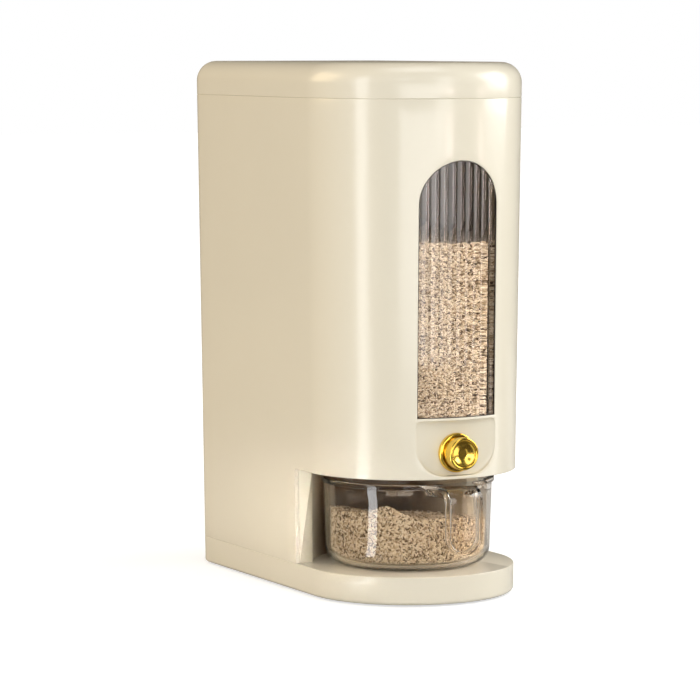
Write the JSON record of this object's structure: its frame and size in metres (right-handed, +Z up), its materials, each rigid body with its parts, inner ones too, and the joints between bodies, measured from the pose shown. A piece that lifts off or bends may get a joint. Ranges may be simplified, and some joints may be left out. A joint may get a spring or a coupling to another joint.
{
  "type": "rice dispenser",
  "caption": "Tall countertop rice dispenser with a D-shaped plan, fluted window, push button that opens a gate, lift-off lid and a clear measuring cup in a bay.",
  "frame": {"origin": "centre of the footprint's bounding box, on the floor under the feet", "axes": "+Z up, -Y to the front where the window, the button and the cup are, +X to the right"},
  "size_m": [0.175, 0.305, 0.41],
  "materials": {
    "body_plastic": "satin-gloss ivory moulding",
    "hopper_plastic": "plain pale moulding",
    "mechanism_plastic": "matt moulding",
    "smoked_clear": "clear smoked grey-brown, fluted",
    "cup_clear": "clear, lightly smoked, polished",
    "gold": "bright gold plating",
    "dark_gasket": "matt dark brown",
    "silicone": "matt translucent white",
    "rubber": "matt",
    "steel": "zinc-plated"
  },
  "bodies": {
    "housing": {"base_tray": "body_plastic", "rubber_feet": "rubber", "base_screws": "steel", "housing_shell": "body_plastic", "bay_liner": "body_plastic", "gate_guide": "mechanism_plastic", "guide_screws": "steel", "hopper": "hopper_plastic", "hopper_screws": "steel", "outlet_seal": "silicone", "button_bezel": "gold", "bezel_nut": "mechanism_plastic", "spring_washer": "steel", "return_spring": "steel", "window_pane": "smoked_clear", "window_gasket": "dark_gasket", "window_retainer": "body_plastic"},
    "lid": {"lid": "body_plastic", "lid_seal": "silicone"},
    "cup": {"measuring_cup": "cup_clear"},
    "plunger": {"button_cap": "gold", "push_rod": "steel", "gate_plate": "mechanism_plastic", "gate_screw": "steel"}
  },
  "joints": [
    {"name": "lid_lift", "type": "slide", "parent": "housing", "child": "lid", "axis": [0, 0, 1], "range_m": [0, 0.08]},
    {"name": "cup_slide", "type": "slide", "parent": "housing", "child": "cup", "axis": [0, -1, 0], "range_m": [0, 0.155]},
    {"name": "button_press", "type": "slide", "parent": "housing", "child": "plunger", "axis": [0, 1, 0], "range_m": [0, 0.01], "stiffness_N_per_m": 350, "springref_m": -0.006, "deforming": ["return_spring"]}
  ]
}
